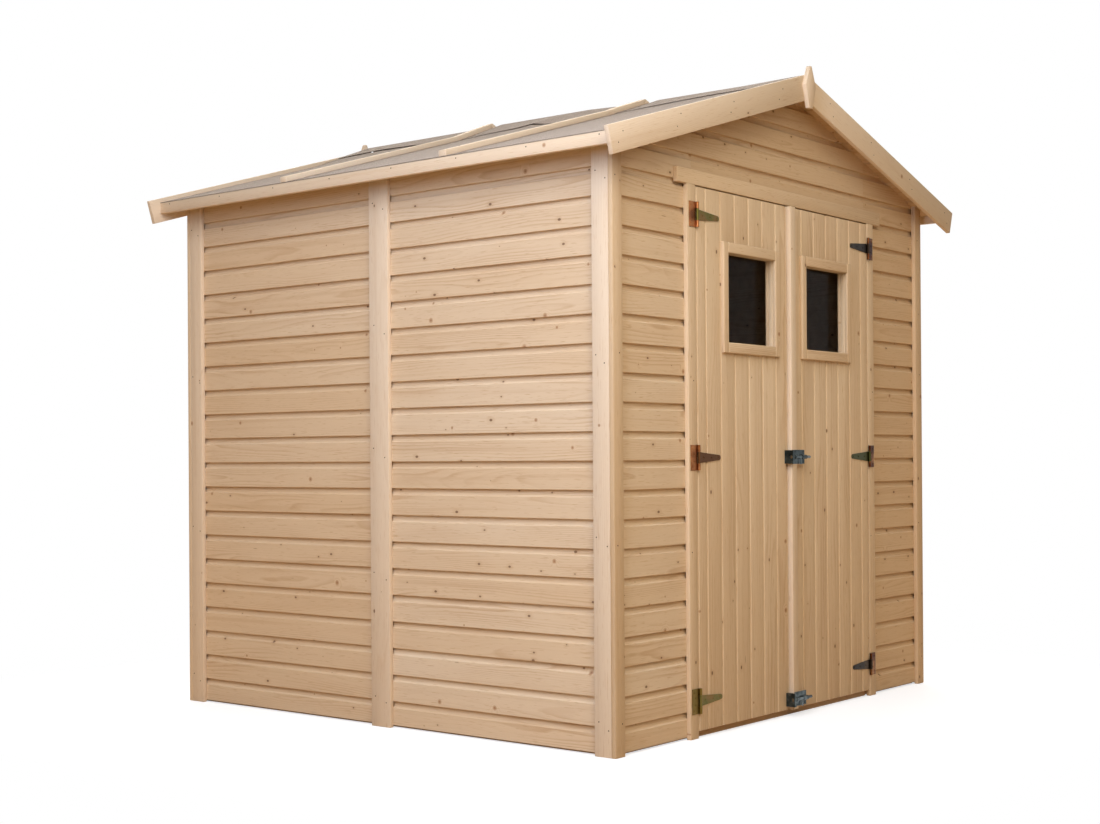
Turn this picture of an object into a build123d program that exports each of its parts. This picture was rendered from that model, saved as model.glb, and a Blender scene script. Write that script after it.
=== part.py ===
from build123d import *
import math
import os

# A small gabled garden shed of pale softwood: shiplap walls, a felted roof and a pair of boarded doors
# with a window in each leaf. Millimetres. +X runs along the front to the right, the doors face -Y and
# +Z is up. The origin is the middle of the footprint, on the ground.

# Walls
wall_width = 2014.0  # side to side, over the corner trims
wall_depth = 1960.0  # front to back, over the corner trims
wall_height = 1846.0  # ground to the underside of the roof boards, at the face of a side wall
board_thick = 16.0
board_cover = 88.0  # height of wall that each shiplap board shows
lip_tall = 16.0  # coved lip along the top of each shiplap board
lip_deep = 7.0
cove_shares = ((0.5, 0.13), (0.87, 0.5))  # points on the cove: shares of its depth and height
ground_gap = 8.0  # cladding stops short of the ground
panel_joint = 1.0  # between two wall panels, behind a mid trim

# Trims on the walls
trim_thick = 16.0
corner_side_wide = 78.0  # seen on a side wall
corner_end_wide = 48.0  # seen on the front and the back
mid_trim_wide = 86.0
side_joint_offset = 11.0  # side panels meet this far in front of the middle
jamb_wide = 45.0
header_tall = 47.0
header_overhang = 55.0  # past each jamb

# Framing inside the walls and under the floor
stud_thick = 28.0
stud_wide = 45.0
plate_tall = 45.0
top_plate_tall = 52.0
lintel_tall = 70.0
rafter_deep = 60.0
floor_thick = 18.0
bearer_wide = 45.0
bearer_offset = 620.0  # outer bearers from the middle one

# Roof
roof_pitch = 17.0  # degrees
deck_thick = 16.0
felt_thick = 3.0
eave_overhang = 73.0  # roof boards past the side cladding
gable_overhang = 62.0  # roof boards past the end trims
fascia_thick = 16.0
fascia_tall = 38.0
batten_wide = 32.0
batten_thick = 18.0
batten_offset = 370.0  # battens and rafters either side of the middle
barge_thick = 16.0
barge_tall = 84.0
barge_rise = 14.0  # bargeboard above the felt
barge_tail = 49.0  # bargeboard past the fascia
ridge_joint = 1.0  # between pieces that meet over the ridge line
finial_thick = 16.0
finial_rise = 26.0  # tip above the bargeboards' peak
finial_drop = 117.0  # foot below that peak
finial_shoulder_drop = 40.0
finial_tip_wide = 11.0
finial_shoulder_wide = 66.0
finial_foot_wide = 24.0

# Doorway and door leaves
doorway_width = 1136.0
doorway_drop = 100.0  # doorway head below the top of the side walls
door_gap = 5.0  # round each leaf, and between its back and the sill
meeting_offset = 17.0  # the leaves meet this far left of the middle
meeting_gap = 6.0
door_ground = 23.0  # leaf bottom above the ground
door_thick = 16.0
door_board_cover = 85.0
hinge_board_wide = 52.0  # narrow board along the hinge edge
board_gap = 0.6
board_chamfer = 4.0
ledge_tall = 90.0
ledge_thick = 20.0
ledge_inset = 25.0
strip_wide = 33.0  # cover strip on the right leaf, along the meeting line
strip_thick = 18.0

# Windows
window_inset = 75.0  # frame from the middle of the doorway
window_drop = 339.0  # window middle below the leaf's top
window_open_wide = 290.0
window_open_tall = 290.0
frame_stile_wide = 29.0
frame_rail_tall = 34.0
frame_thick = 12.0
frame_joint = 0.4
frame_chamfer = 2.0
bead_thick = 12.0  # strips behind the boards, which carry the glass
glass_thick = 4.0
glass_lap = 10.0  # glass past the opening, behind those strips

# T-hinges
hinge_low_inset = 95.0  # lowest hinge above the leaf's bottom
hinge_high_inset = 89.0  # highest hinge below the leaf's top
hinge_plate_wide = 34.0
hinge_plate_tall = 80.0
hinge_metal = 2.5
hinge_stand = 6.0  # pin axis in front of the boards
knuckle_radius = 5.0
pin_radius = 2.5
pin_gap = 0.08
knuckle_gap = 0.5  # end to end, between knuckles
plate_gap = 1.0  # plate edge from the strap's knuckle
strap_long = 130.0
strap_base_tall = 36.0
strap_tip_radius = 8.0

# Barrel bolts
bolt_low_inset = 35.0  # lower bolt above the leaf's bottom
bolt_plate_wide = 78.0
bolt_plate_tall = 48.0
bolt_metal = 2.0
bolt_inset = 2.0  # plate edge from the cover strip's edge
rod_radius = 5.0
rod_gap = 0.3
rod_stand = 5.8  # rod axis in front of its plate
rod_overrun = 26.0  # rod past the plate, at its free end
rod_chamfer = 1.5
saddle_wide = 8.0  # at the nose
barrel_long = 28.0  # at the other end
saddle_wall = 2.0
saddle_inset = 1.0
handle_radius = 3.0
handle_long = 25.0
handle_gap = 3.5  # between the handle and the saddle it stops at
keeper_gap = 4.0  # keeper edge from the left leaf's edge
keeper_wide = 10.0
keeper_tall = 46.0
keeper_metal = 2.5
keeper_gap_round = 1.0  # round the rod

overrun = 50.0  # one extra length for all cuts

# Places worked out from the sizes
side_face = wall_width / 2
end_face = wall_depth / 2
clad_x = side_face - trim_thick
clad_y = end_face - trim_thick
inner_x = clad_x - board_thick
inner_y = clad_y - board_thick
stud_x = inner_x - stud_thick
stud_y = inner_y - stud_thick
slope = math.tan(math.radians(roof_pitch))
lean = math.cos(math.radians(roof_pitch))
deck_edge = clad_x + eave_overhang
fascia_face = deck_edge + fascia_thick
barge_end = fascia_face + barge_tail
barge_back = end_face + gable_overhang
barge_face = barge_back + barge_thick
felt_lift = deck_thick + felt_thick
barge_lift = felt_lift + barge_rise
floor_top = plate_tall + floor_thick
half_door = doorway_width / 2
doorway_height = wall_height - doorway_drop
jamb_outer = half_door + jamb_wide
side_joint = -side_joint_offset
meeting_line = -meeting_offset
leaf_top = doorway_height - door_gap
door_back = end_face - door_thick
hinge_x = half_door - door_gap / 2
hinge_y = end_face + hinge_stand
low_hinge = door_ground + hinge_low_inset
high_hinge = leaf_top - hinge_high_inset
mid_hinge = (low_hinge + high_hinge) / 2
hinge_heights = (low_hinge, mid_hinge, high_hinge)
bolt_heights = (door_ground + bolt_low_inset, mid_hinge)
strip_face = end_face + strip_thick
glass_face = door_back - bead_thick
window_middle = leaf_top - window_drop
window_low = window_middle - window_open_tall / 2
window_high = window_middle + window_open_tall / 2

os.makedirs("parts", exist_ok=True)


def save(piece, name):
    """Label a finished piece and write it out."""
    piece.part.label = name
    export_step(piece.part, f"parts/{name}.step")


def roof_z(x, lift=0):
    """Height at distance x from the middle of a plane that lies lift above the roof boards' underside."""
    return wall_height + (clad_x - x) * slope + lift / lean


def bar(x, y, z, mode=Mode.ADD):
    """A squared timber over three (low, high) spans."""
    with Locations((x[0], y[0], z[0])):
        Box(x[1] - x[0], y[1] - y[0], z[1] - z[0], align=(Align.MIN, Align.MIN, Align.MIN), mode=mode)


def end_slab(points, y, mode=Mode.ADD):
    """A flat piece with the given (x, z) outline, over a (low, high) span of y."""
    with BuildSketch(Plane.XZ.offset(-y[1])) as outline:
        with BuildLine():
            Polyline(*points, close=True)
        make_face()
    extrude(outline.sketch, amount=y[1] - y[0], mode=mode)


def shiplap(face, back, low, high_face, high_back):
    """Section of a stack of shiplap boards in (depth, height): square lower edges over coved lips."""
    inward = math.copysign(lip_deep, back - face)
    courses_below = math.floor((wall_height - low) / board_cover)
    line = wall_height - courses_below * board_cover
    points = [(face, low)]
    while line < high_face:
        points.append((face, line - lip_tall))
        for deep, tall in cove_shares:
            points.append((face + deep * inward, line - lip_tall + tall * lip_tall))
        points.append((face + inward, line))
        points.append((face, line))
        line += board_cover
    return points + [(face, high_face), (back, high_back), (back, low)]


def slope_band(low_lift, high_lift, near, far):
    """Outline of a layer of the left roof slope, cut plumb at two distances from the middle."""
    return [
        (-far, roof_z(far, low_lift)),
        (-near, roof_z(near, low_lift)),
        (-near, roof_z(near, high_lift)),
        (-far, roof_z(far, high_lift)),
    ]


def under_roof(x_low, x_high, z_low):
    """Outline of a flat piece between two places left of the middle, from z_low up to the roof boards."""
    return [(x_low, z_low), (x_high, z_low), (x_high, roof_z(-x_high)), (x_low, roof_z(-x_low))]


# Side walls, each of two panels that meet behind the mid trim
with BuildPart() as left_wall_cladding:
    side_section = shiplap(-clad_x, -inner_x, ground_gap, roof_z(clad_x), roof_z(inner_x))
    end_slab(side_section, (-inner_y, side_joint - panel_joint / 2))
    end_slab(side_section, (side_joint + panel_joint / 2, inner_y))
save(left_wall_cladding, "left_wall_cladding")

with BuildPart() as right_wall_cladding:
    mirror(left_wall_cladding.part, about=Plane.YZ)
save(right_wall_cladding, "right_wall_cladding")


def end_cladding(outline):
    """Shiplap boards of the front wall, cut to an (x, z) outline."""
    with BuildSketch(Plane.YZ.offset(-clad_x)) as section:
        with BuildLine():
            Polyline(*shiplap(-clad_y, -inner_y, ground_gap, roof_z(0), roof_z(0)), close=True)
        make_face()
    extrude(section.sketch, amount=clad_x + clad_x)
    end_slab(outline, (-clad_y - overrun, -inner_y + overrun), mode=Mode.INTERSECT)


# End walls: the front is split beside and over the doorway, the back at its middle
with BuildPart() as front_left_cladding:
    end_cladding(under_roof(-clad_x, -half_door, ground_gap))
save(front_left_cladding, "front_left_cladding")

with BuildPart() as front_right_cladding:
    mirror(front_left_cladding.part, about=Plane.YZ)
save(front_right_cladding, "front_right_cladding")

with BuildPart() as front_gable_cladding:
    end_cladding(
        [
            (-half_door, doorway_height),
            (half_door, doorway_height),
            (half_door, roof_z(half_door)),
            (0, roof_z(0)),
            (-half_door, roof_z(half_door)),
        ]
    )
save(front_gable_cladding, "front_gable_cladding")

with BuildPart() as rear_left_half:
    end_cladding(under_roof(-clad_x, -panel_joint / 2, ground_gap))

with BuildPart() as rear_wall_cladding:
    mirror(rear_left_half.part, about=Plane.XZ)
    mirror(about=Plane.YZ)
save(rear_wall_cladding, "rear_wall_cladding")

# Framing: posts and studs on bottom plates, top plates along the eaves and a lintel over the doorway
top_plate_low = roof_z(inner_x) - top_plate_tall
with BuildPart() as wall_studs:
    bar((-inner_x, -stud_x), (-inner_y, stud_wide - inner_y), (0, top_plate_low))
    mirror(about=Plane.XZ)
    mid_stud_y = (side_joint - stud_wide / 2, side_joint + stud_wide / 2)
    bar((-inner_x, -stud_x), mid_stud_y, (plate_tall, top_plate_low))
    bar((-half_door - stud_wide, -half_door), (-inner_y, -stud_y), (0, wall_height))
    mirror(about=Plane.YZ)
    rear_stud_top = roof_z(stud_wide / 2)
    bar((-stud_wide / 2, stud_wide / 2), (stud_y, inner_y), (plate_tall, rear_stud_top))
save(wall_studs, "wall_studs")

with BuildPart() as bottom_plates:
    bar((-inner_x, -stud_x), (stud_wide - inner_y, inner_y - stud_wide), (0, plate_tall))
    bar((-stud_x, -half_door - stud_wide), (-inner_y, -stud_y), (0, plate_tall))
    mirror(about=Plane.YZ)
    bar((-stud_x, stud_x), (stud_y, inner_y), (0, plate_tall))
save(bottom_plates, "bottom_plates")

with BuildPart() as top_plates:
    end_slab(under_roof(-inner_x, -stud_x, top_plate_low), (-inner_y, inner_y))
    mirror(about=Plane.YZ)
save(top_plates, "top_plates")

with BuildPart() as door_lintel:
    bar((-half_door, half_door), (-inner_y, -stud_y), (doorway_height, doorway_height + lintel_tall))
save(door_lintel, "door_lintel")

with BuildPart() as door_sill:
    bar((-half_door, half_door), (door_gap - door_back, -stud_y), (0, floor_top))
save(door_sill, "door_sill")

with BuildPart() as floor_bearers:
    for y in (-bearer_offset, 0, bearer_offset):
        bar((-stud_x, stud_x), (y - bearer_wide / 2, y + bearer_wide / 2), (0, plate_tall))
save(floor_bearers, "floor_bearers")

with BuildPart() as floor_boards:
    bar((-stud_x, stud_x), (-stud_y, stud_y), (plate_tall, floor_top))
save(floor_boards, "floor_boards")

with BuildPart() as rafters:
    end_slab(
        slope_band(-rafter_deep, 0, ridge_joint / 2, stud_x),
        (batten_offset - stud_thick / 2, batten_offset + stud_thick / 2),
    )
    mirror(about=Plane.XZ)
    mirror(about=Plane.YZ)
save(rafters, "rafters")

# Trims over the corners and the panel joints, all cut to the roof boards
with BuildPart() as front_corner_trims:
    end_slab(under_roof(-side_face, corner_end_wide - side_face, 0), (-end_face, -clad_y))
    mirror(about=Plane.YZ)
save(front_corner_trims, "front_corner_trims")

with BuildPart() as rear_corner_trims:
    mirror(front_corner_trims.part, about=Plane.XZ)
save(rear_corner_trims, "rear_corner_trims")

with BuildPart() as side_corner_trims:
    end_slab(under_roof(-side_face, -clad_x, 0), (-clad_y, corner_side_wide - end_face))
    mirror(about=Plane.XZ)
    mirror(about=Plane.YZ)
save(side_corner_trims, "side_corner_trims")

with BuildPart() as side_mid_trims:
    mid_trim_y = (side_joint - mid_trim_wide / 2, side_joint + mid_trim_wide / 2)
    end_slab(under_roof(-side_face, -clad_x, 0), mid_trim_y)
    mirror(about=Plane.YZ)
save(side_mid_trims, "side_mid_trims")

with BuildPart() as rear_mid_trim:
    half_trim = mid_trim_wide / 2
    end_slab(
        [
            (-half_trim, 0),
            (half_trim, 0),
            (half_trim, roof_z(half_trim)),
            (0, roof_z(0)),
            (-half_trim, roof_z(half_trim)),
        ],
        (clad_y, end_face),
    )
save(rear_mid_trim, "rear_mid_trim")

with BuildPart() as door_jambs:
    bar((-jamb_outer, -half_door), (-end_face, -clad_y), (0, doorway_height))
    mirror(about=Plane.YZ)
save(door_jambs, "door_jambs")

with BuildPart() as door_header:
    header_end = jamb_outer + header_overhang
    header_top = doorway_height + header_tall
    bar((-header_end, header_end), (-end_face, -clad_y), (doorway_height, header_top))
save(door_header, "door_header")

# Roof: boards, felt, battens over the felt, fascias, bargeboards and finials
with BuildPart() as left_roof_boards:
    end_slab(slope_band(0, deck_thick, 0, deck_edge), (-barge_back, barge_back))
save(left_roof_boards, "left_roof_boards")

with BuildPart() as right_roof_boards:
    mirror(left_roof_boards.part, about=Plane.YZ)
save(right_roof_boards, "right_roof_boards")

with BuildPart() as left_roof_felt:
    end_slab(slope_band(deck_thick, felt_lift, 0, fascia_face), (-barge_back, barge_back))
save(left_roof_felt, "left_roof_felt")

with BuildPart() as right_roof_felt:
    mirror(left_roof_felt.part, about=Plane.YZ)
save(right_roof_felt, "right_roof_felt")

with BuildPart() as roof_battens:
    end_slab(
        slope_band(felt_lift, felt_lift + batten_thick, ridge_joint / 2, fascia_face),
        (batten_offset - batten_wide / 2, batten_offset + batten_wide / 2),
    )
    mirror(about=Plane.XZ)
    mirror(about=Plane.YZ)
save(roof_battens, "roof_battens")

with BuildPart() as eave_fascias:
    fascia_low = roof_z(fascia_face, deck_thick) - fascia_tall
    end_slab(
        [
            (-fascia_face, fascia_low),
            (-deck_edge, fascia_low),
            (-deck_edge, roof_z(deck_edge, deck_thick)),
            (-fascia_face, roof_z(fascia_face, deck_thick)),
        ],
        (-barge_back, barge_back),
    )
    mirror(about=Plane.YZ)
save(eave_fascias, "eave_fascias")

with BuildPart() as front_bargeboards:
    barge_low = barge_lift - barge_tall
    peak_gap = ridge_joint / 2
    cut_in = barge_tall * lean * slope
    end_slab(
        [
            (-barge_end, roof_z(barge_end, barge_lift)),
            (cut_in - barge_end, roof_z(barge_end - cut_in, barge_low)),
            (-peak_gap, roof_z(peak_gap, barge_low)),
            (-peak_gap, roof_z(peak_gap, barge_lift)),
        ],
        (-barge_face, -barge_back),
    )
    mirror(about=Plane.YZ)
save(front_bargeboards, "front_bargeboards")

with BuildPart() as rear_bargeboards:
    mirror(front_bargeboards.part, about=Plane.XZ)
save(rear_bargeboards, "rear_bargeboards")

with BuildPart() as finials:
    peak = roof_z(0, barge_lift)
    end_slab(
        [
            (-finial_tip_wide / 2, peak + finial_rise),
            (-finial_shoulder_wide / 2, peak - finial_shoulder_drop),
            (-finial_foot_wide / 2, peak - finial_drop),
            (finial_foot_wide / 2, peak - finial_drop),
            (finial_shoulder_wide / 2, peak - finial_shoulder_drop),
            (finial_tip_wide / 2, peak + finial_rise),
        ],
        (-barge_face - finial_thick, -barge_face),
    )
    mirror(about=Plane.XZ)
save(finials, "finials")


# Door leaves. Each function takes the hinge side, -1 for the left leaf and 1 for the right one.
def span(one, other):
    """A (low, high) span from two ends in any order."""
    return (min(one, other), max(one, other))


def leaf_edges(side):
    """Places of a leaf's hinge edge and meeting edge."""
    return side * (half_door - door_gap), meeting_line + side * meeting_gap / 2


def window_x(side):
    """Span of a leaf's window opening."""
    near = side * (window_inset + frame_stile_wide)
    return span(near, near + side * window_open_wide)


def leaf_boards(side):
    """Upright boards, chamfered along their front edges and cut out round the window."""
    start, finish = leaf_edges(side)
    reach = abs(finish - start)
    board_count = round((reach - hinge_board_wide) / door_board_cover)
    joints = [0] + [hinge_board_wide + k * door_board_cover for k in range(board_count)] + [reach + board_gap]
    for near, far in zip(joints, joints[1:]):
        board = span(start - side * near, start - side * (far - board_gap))
        bar(board, (-end_face, -door_back), (door_ground, leaf_top))


def window_strips(side, depth):
    """Four strips round a window over a (low, high) span of y, the level ones between the upright ones."""
    low, high = window_x(side)
    tall = (window_low - frame_rail_tall, window_high + frame_rail_tall)
    bar((low - frame_stile_wide, low), depth, tall)
    bar((high, high + frame_stile_wide), depth, tall)
    level = (low + frame_joint, high - frame_joint)
    bar(level, depth, (tall[0], window_low))
    bar(level, depth, (window_high, tall[1]))


def window_glass(side):
    """One pane behind the strips that carry it."""
    low, high = window_x(side)
    bar(
        (low - glass_lap, high + glass_lap),
        (-glass_face, glass_thick - glass_face),
        (window_low - glass_lap, window_high + glass_lap),
    )


def leaf_ledges(side):
    """Level ledges behind the boards, one at each hinge."""
    start, finish = leaf_edges(side)
    ledge = span(start - side * ledge_inset, finish + side * ledge_inset)
    for height in hinge_heights:
        z = (height - ledge_tall / 2, height + ledge_tall / 2)
        bar(ledge, (-door_back, ledge_thick - door_back), z)


def upright_pin(side, radius, low, high, mode=Mode.ADD):
    """A round upright on a leaf's hinge axis."""
    with BuildSketch(Plane.XY.offset(low)) as section:
        with Locations((side * hinge_x, -hinge_y)):
            Circle(radius)
    extrude(section.sketch, amount=high - low, mode=mode)


def hinge_straps(side):
    """Tapered straps with a bored knuckle round the pin."""
    axis = side * hinge_x
    tip = axis - side * (strap_long - strap_tip_radius)
    end = axis - side * strap_long
    half = strap_base_tall / 2
    for height in hinge_heights:
        with BuildSketch(Plane.XZ.offset(end_face)) as outline:
            with BuildLine():
                Polyline(
                    (tip, height - strap_tip_radius),
                    (axis, height - half),
                    (axis, height + half),
                    (tip, height + strap_tip_radius),
                )
                ThreePointArc((tip, height + strap_tip_radius), (end, height), (tip, height - strap_tip_radius))
            make_face()
        extrude(outline.sketch, amount=hinge_metal)
        upright_pin(side, knuckle_radius, height - half, height + half)
        upright_pin(side, pin_radius + pin_gap, height - half, height + half, mode=Mode.SUBTRACT)


def hinge_plates(side):
    """Plates on the jamb, each with an upper and a lower knuckle and the pin between them."""
    axis = side * hinge_x
    edge = axis + side * (knuckle_radius + plate_gap)
    outer = edge + side * hinge_plate_wide
    notch = strap_base_tall / 2 + knuckle_gap
    half = hinge_plate_tall / 2
    depth = (-end_face - hinge_metal, -end_face)
    for height in hinge_heights:
        bar(span(edge, outer), depth, (height - half, height + half))
        for low, high in ((height - half, height - notch), (height + notch, height + half)):
            bar(span(axis, edge), depth, (low, high))
            upright_pin(side, knuckle_radius, low, high)
        upright_pin(side, pin_radius, height - half, height + half)


leaf_names = {-1: "left", 1: "right"}
for side, name in leaf_names.items():
    with BuildPart() as door_boards:
        leaf_boards(side)
        front_edges = door_boards.edges().filter_by(Axis.Z).group_by(Axis.Y)[0]
        chamfer(front_edges, length=board_chamfer)
        cut_z = (window_low, window_high)
        bar(window_x(side), (-end_face - overrun, -door_back + overrun), cut_z, mode=Mode.SUBTRACT)
    save(door_boards, f"{name}_door_boards")

    with BuildPart() as door_ledges:
        leaf_ledges(side)
    save(door_ledges, f"{name}_door_ledges")

    with BuildPart() as frame_strips:
        window_strips(side, (-end_face - frame_thick, -end_face))
        front_faces = frame_strips.faces().filter_by(Axis.Y).group_by(Axis.Y)[0]
        chamfer(front_faces.edges(), length=frame_chamfer)
        window_strips(side, (-door_back, -glass_face))
    save(frame_strips, f"{name}_window_frame")

    with BuildPart() as pane:
        window_glass(side)
    save(pane, f"{name}_window_glass")

    with BuildPart() as straps:
        hinge_straps(side)
    save(straps, f"{name}_hinge_straps")

    with BuildPart() as plates:
        hinge_plates(side)
    save(plates, f"{name}_hinge_plates")

# Barrel bolts: plate, saddle and barrel on the right leaf, keepers on the left leaf
strip_left = leaf_edges(1)[1]
strip_right = strip_left + strip_wide
plate_left = strip_left + bolt_inset
plate_right = plate_left + bolt_plate_wide
plate_face = strip_face + bolt_metal
rod_y = plate_face + rod_stand
saddle_spans = (
    (plate_left + saddle_inset, plate_left + saddle_inset + saddle_wide),
    (plate_right - saddle_inset - barrel_long, plate_right - saddle_inset),
)
handle_x = saddle_spans[1][0] - handle_gap - handle_radius
bolt_travel = handle_x - handle_radius - handle_gap - saddle_spans[0][1]
print(f"bolt travel {bolt_travel:.2f} mm, hinge axes at x {hinge_x:.2f}, y {-hinge_y:.2f} mm")


def level_rod(radius, x, height, mode=Mode.ADD):
    """A round bar along X on a bolt's axis."""
    with BuildSketch(Plane.YZ.offset(x[0])) as section:
        with Locations((-rod_y, height)):
            Circle(radius)
    extrude(section.sketch, amount=x[1] - x[0], mode=mode)


# Cover strip along the meeting line, and a packing block beside it under each bolt
with BuildPart() as meeting_strip:
    strip_y = (-strip_face, -end_face)
    bar((strip_left, strip_right), strip_y, (door_ground, leaf_top))
    for height in bolt_heights:
        block_half = bolt_plate_tall / 2 - bolt_inset
        bar((strip_right + board_gap, plate_right - bolt_inset), strip_y, (height - block_half, height + block_half))
save(meeting_strip, "meeting_strip")

with BuildPart() as bolt_cases:
    saddle_radius = rod_radius + rod_gap + saddle_wall
    for height in bolt_heights:
        plate_z = (height - bolt_plate_tall / 2, height + bolt_plate_tall / 2)
        bar((plate_left, plate_right), (-plate_face, -strip_face), plate_z)
        for saddle_x in saddle_spans:
            foot_z = (height - saddle_radius, height + saddle_radius)
            bar(saddle_x, (-rod_y, -plate_face), foot_z)
            level_rod(saddle_radius, saddle_x, height)
        level_rod(rod_radius + rod_gap, (plate_left, plate_right), height, mode=Mode.SUBTRACT)
save(bolt_cases, "bolt_cases")

for height, name in zip(bolt_heights, ("lower", "upper")):
    with BuildPart() as bolt_rod:
        rod_end = plate_right + rod_overrun
        level_rod(rod_radius, (strip_left, rod_end), height)
        chamfer(bolt_rod.edges().filter_by(GeomType.CIRCLE), length=rod_chamfer)
        with BuildSketch(Plane.XY.offset(height - handle_long)):
            with Locations((handle_x, -rod_y)):
                Circle(handle_radius)
        extrude(amount=handle_long)
    save(bolt_rod, f"{name}_bolt_rod")

with BuildPart() as bolt_keepers:
    keeper_right = leaf_edges(-1)[1] - keeper_gap
    keeper_x = (keeper_right - keeper_wide, keeper_right)
    keeper_room = rod_radius + keeper_gap_round
    keeper_inner = rod_y + keeper_room
    keeper_half = keeper_tall / 2
    slot_half = keeper_half - keeper_metal
    slot_x = (keeper_x[0] - overrun, keeper_x[1] + overrun)
    slot_y = (-keeper_inner, -end_face - keeper_metal)
    for height in bolt_heights:
        bar(keeper_x, (-keeper_inner - keeper_metal, -end_face), (height - keeper_half, height + keeper_half))
        bar(slot_x, slot_y, (height - slot_half, height + slot_half), mode=Mode.SUBTRACT)
save(bolt_keepers, "bolt_keepers")
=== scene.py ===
import math
import random

import bmesh
import bpy
import numpy as np
from mathutils import Matrix, Vector


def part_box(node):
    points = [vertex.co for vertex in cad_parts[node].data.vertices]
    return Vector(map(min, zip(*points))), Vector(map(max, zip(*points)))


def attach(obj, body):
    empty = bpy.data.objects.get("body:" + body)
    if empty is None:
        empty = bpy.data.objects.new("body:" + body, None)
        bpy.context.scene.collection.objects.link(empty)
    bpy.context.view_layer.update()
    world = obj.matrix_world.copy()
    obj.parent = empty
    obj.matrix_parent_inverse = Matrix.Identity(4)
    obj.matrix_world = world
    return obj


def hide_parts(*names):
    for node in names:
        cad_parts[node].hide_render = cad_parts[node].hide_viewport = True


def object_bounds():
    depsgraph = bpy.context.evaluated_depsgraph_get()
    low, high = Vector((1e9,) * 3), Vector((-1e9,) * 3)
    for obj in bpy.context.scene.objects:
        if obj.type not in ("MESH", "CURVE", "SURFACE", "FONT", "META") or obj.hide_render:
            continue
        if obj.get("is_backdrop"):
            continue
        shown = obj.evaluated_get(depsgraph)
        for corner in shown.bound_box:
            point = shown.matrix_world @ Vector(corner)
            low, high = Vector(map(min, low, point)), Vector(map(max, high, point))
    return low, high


# Looks of a small gabled garden shed of bare spruce. Metres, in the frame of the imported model:
# +X along the front to the right, the doors face -Y and +Z is up.

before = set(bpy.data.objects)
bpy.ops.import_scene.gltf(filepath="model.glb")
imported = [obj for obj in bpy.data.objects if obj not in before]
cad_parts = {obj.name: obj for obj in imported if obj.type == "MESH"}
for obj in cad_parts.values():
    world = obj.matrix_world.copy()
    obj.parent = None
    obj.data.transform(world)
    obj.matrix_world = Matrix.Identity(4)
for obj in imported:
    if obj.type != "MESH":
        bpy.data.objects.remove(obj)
cad_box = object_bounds()

# Camera, fitted to the photograph's corners and board lines. Its frame is 1100 by 824 pixels.
IMAGE_WIDTH = 1100
FOCAL_PIXELS = 1628.2
CAMERA_PLACE = Vector((-4.8526, -3.8434, 0.8903))
CAMERA_YAW = math.radians(51.085)
CAMERA_PITCH = math.radians(0.174)
CAMERA_ROLL = math.radians(-0.381)
CAMERA_SHIFT_PIXELS = 40.0
SENSOR_MM = 36.0

# Shiplap boards
BOARD_COVER = 0.088
LIP_TALL = 0.023
LIP_DEEP = 0.0105
LIP_EASE = 0.0018
LAP_TALL = 0.005
LAP_CLEAR = 0.0003
ARRIS = 0.0012
COVE_STEPS = 9
COVE_ROUND = 0.85
PANEL_JOINT = 0.0005

# Dressed timbers
TIMBER_ARRIS = 0.0015
JOINERY_ARRIS = 0.0008
SHARP_ANGLE = math.radians(35)
BEVEL_ANGLE = math.radians(25)
FLAT_ANGLE = math.radians(1.0)
WELD = 1e-5

# Roof and floor boards. A last board under the sliver's share of a whole one is left out.
ROOF_BOARD = 0.088
FLOOR_BOARD = 0.09
PLANK_GAP = 0.0006
PLANK_BEAD = 0.0036
SLIVER_SHARE = 0.01
ROOF_PITCH = math.radians(17.0)
DECK_THICK = 0.016

# Felt: its sheets, the grids they are made on, and the loose strip over the ridge
FELT_THICK = 0.0026
FELT_UNDER = 0.0006
FELT_WAVE = 0.0004
ALONG_STEPS = 120
DOWN_STEPS = 48
STRIP_STEPS = 8
RIPPLES = 4
RIPPLE_PEAK = 2.1
STRIP_REACH = 0.183
STRIP_WAVE = 0.006
STRIP_GAP = 0.15
SWELL_FADE = 0.09
# How far the felt stands off the boards, by place along the roof: at the ridge and at the strip's edge
RIDGE_LIFTS = (
    (-1.05, 0.012), (-0.80, 0.010), (-0.44, 0.013), (-0.39, 0.006), (-0.35, 0.006), (-0.28, 0.014),
    (-0.13, 0.021), (0.31, 0.023), (0.35, 0.016), (0.39, 0.016), (0.45, 0.020), (1.05, 0.022),
)
EDGE_LIFTS = (
    (-1.05, 0.006), (-0.80, 0.008), (-0.64, 0.006), (-0.50, 0.003), (-0.40, 0.0), (-0.30, 0.0),
    (-0.10, 0.003), (-0.05, 0.006), (0.0, 0.015), (0.08, 0.009), (0.25, 0.005), (0.34, 0.0),
    (0.40, 0.0), (0.62, 0.011), (0.80, 0.015), (1.05, 0.010),
)
BATTEN_CUTS = 14
BATTEN_STEP = 0.025

# Iron and screws. A plate's screws are placed from its outer edge and its middle, a strap's from its tip.
METAL_EDGE = 0.0004
HINGE_METAL = 0.0025
BOLT_METAL = 0.002
KEEPER_METAL = 0.0025
KEEPER_EDGE = 0.0003
KEEPER_CLEAR = 0.0006
SCREW_RADIUS = 0.0036
SCREW_RISE = 0.0011
SCREW_CROSS = 0.0009
PLATE_SCREWS = ((0.009, 0.028), (0.017, 0.011), (0.009, -0.028), (0.017, -0.011))
STRAP_SCREWS = (0.012, 0.052, 0.096)
BOLT_SCREW_RADIUS = 0.0032
BOLT_SCREW_RISE = 0.001
BOLT_SCREW_CROSS = 0.0008
BOLT_SCREW_NOSE = 0.0165
BOLT_SCREW_TAIL = 0.009
BOLT_SCREW_OFFSET = 0.0175
LOWER_HINGE = 0.15
MIDDLE_HINGE = 0.85
ODD_FILM = 0.3

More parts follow.
